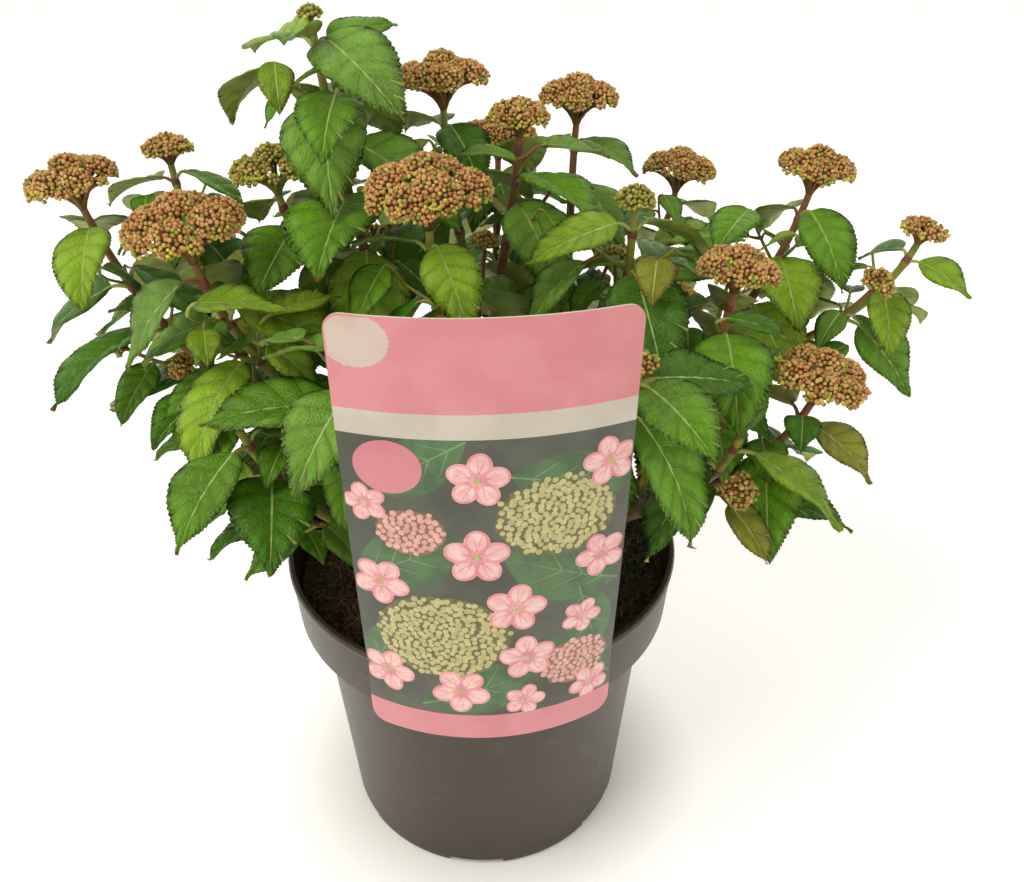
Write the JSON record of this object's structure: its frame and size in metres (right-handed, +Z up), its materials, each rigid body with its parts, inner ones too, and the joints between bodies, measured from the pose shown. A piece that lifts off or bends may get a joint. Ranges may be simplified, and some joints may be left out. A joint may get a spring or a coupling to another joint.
{
  "type": "hydrangea shrub in a nursery pot",
  "caption": "Bushy potted lacecap shrub with paired oval toothed leaves, domed heads of flower buds, and a picture label without lettering, in a round nursery pot.",
  "frame": {"origin": "centre of the pot's flat underside", "axes": "+Z up; -Y towards the side with the label; +X to the right as the label is faced"},
  "size_m": [0.444, 0.3305, 0.3968],
  "materials": {
    "pot_plastic": "moulded black plastic, slightly worn",
    "peat": "dark moist peat with root fibres",
    "label_card": "glossy printed plastic card, pink",
    "bark": "red-brown young bark",
    "foliage": "satin green leaves, russet buds"
  },
  "bodies": {
    "root": {"pot": "pot_plastic", "soil": "peat", "label": "label_card", "crown": "bark", "stem_left_front": "bark", "foliage_left_front": "foliage", "stem_left_far": "bark", "foliage_left_far": "foliage", "stem_centre_front": "bark", "foliage_centre_front": "foliage", "stem_right_upper": "bark", "foliage_right_upper": "foliage", "stem_right_low": "bark", "foliage_right_low": "foliage", "stem_centre_back": "bark", "foliage_centre_back": "foliage", "stem_right_back": "bark", "foliage_right_back": "foliage", "stem_left_tall": "bark", "foliage_left_tall": "foliage", "stem_right_mid": "bark", "foliage_right_mid": "foliage", "stem_left_mid": "bark", "foliage_left_mid": "foliage", "stem_left_back": "bark", "foliage_left_back": "foliage", "stem_right_far": "bark", "foliage_right_far": "foliage", "stem_centre_mid": "bark", "foliage_centre_mid": "foliage", "stem_centre_right": "bark", "foliage_centre_right": "foliage", "stem_low_left": "bark", "foliage_low_left": "foliage", "stem_low_right": "bark", "foliage_low_right": "foliage", "stem_front_left": "bark", "foliage_front_left": "foliage", "stem_front_right": "bark", "foliage_front_right": "foliage", "stem_back_left": "bark", "foliage_back_left": "foliage", "stem_back_far": "bark", "foliage_back_far": "foliage", "stem_back_right": "bark", "foliage_back_right": "foliage"}
  },
  "joints": []
}
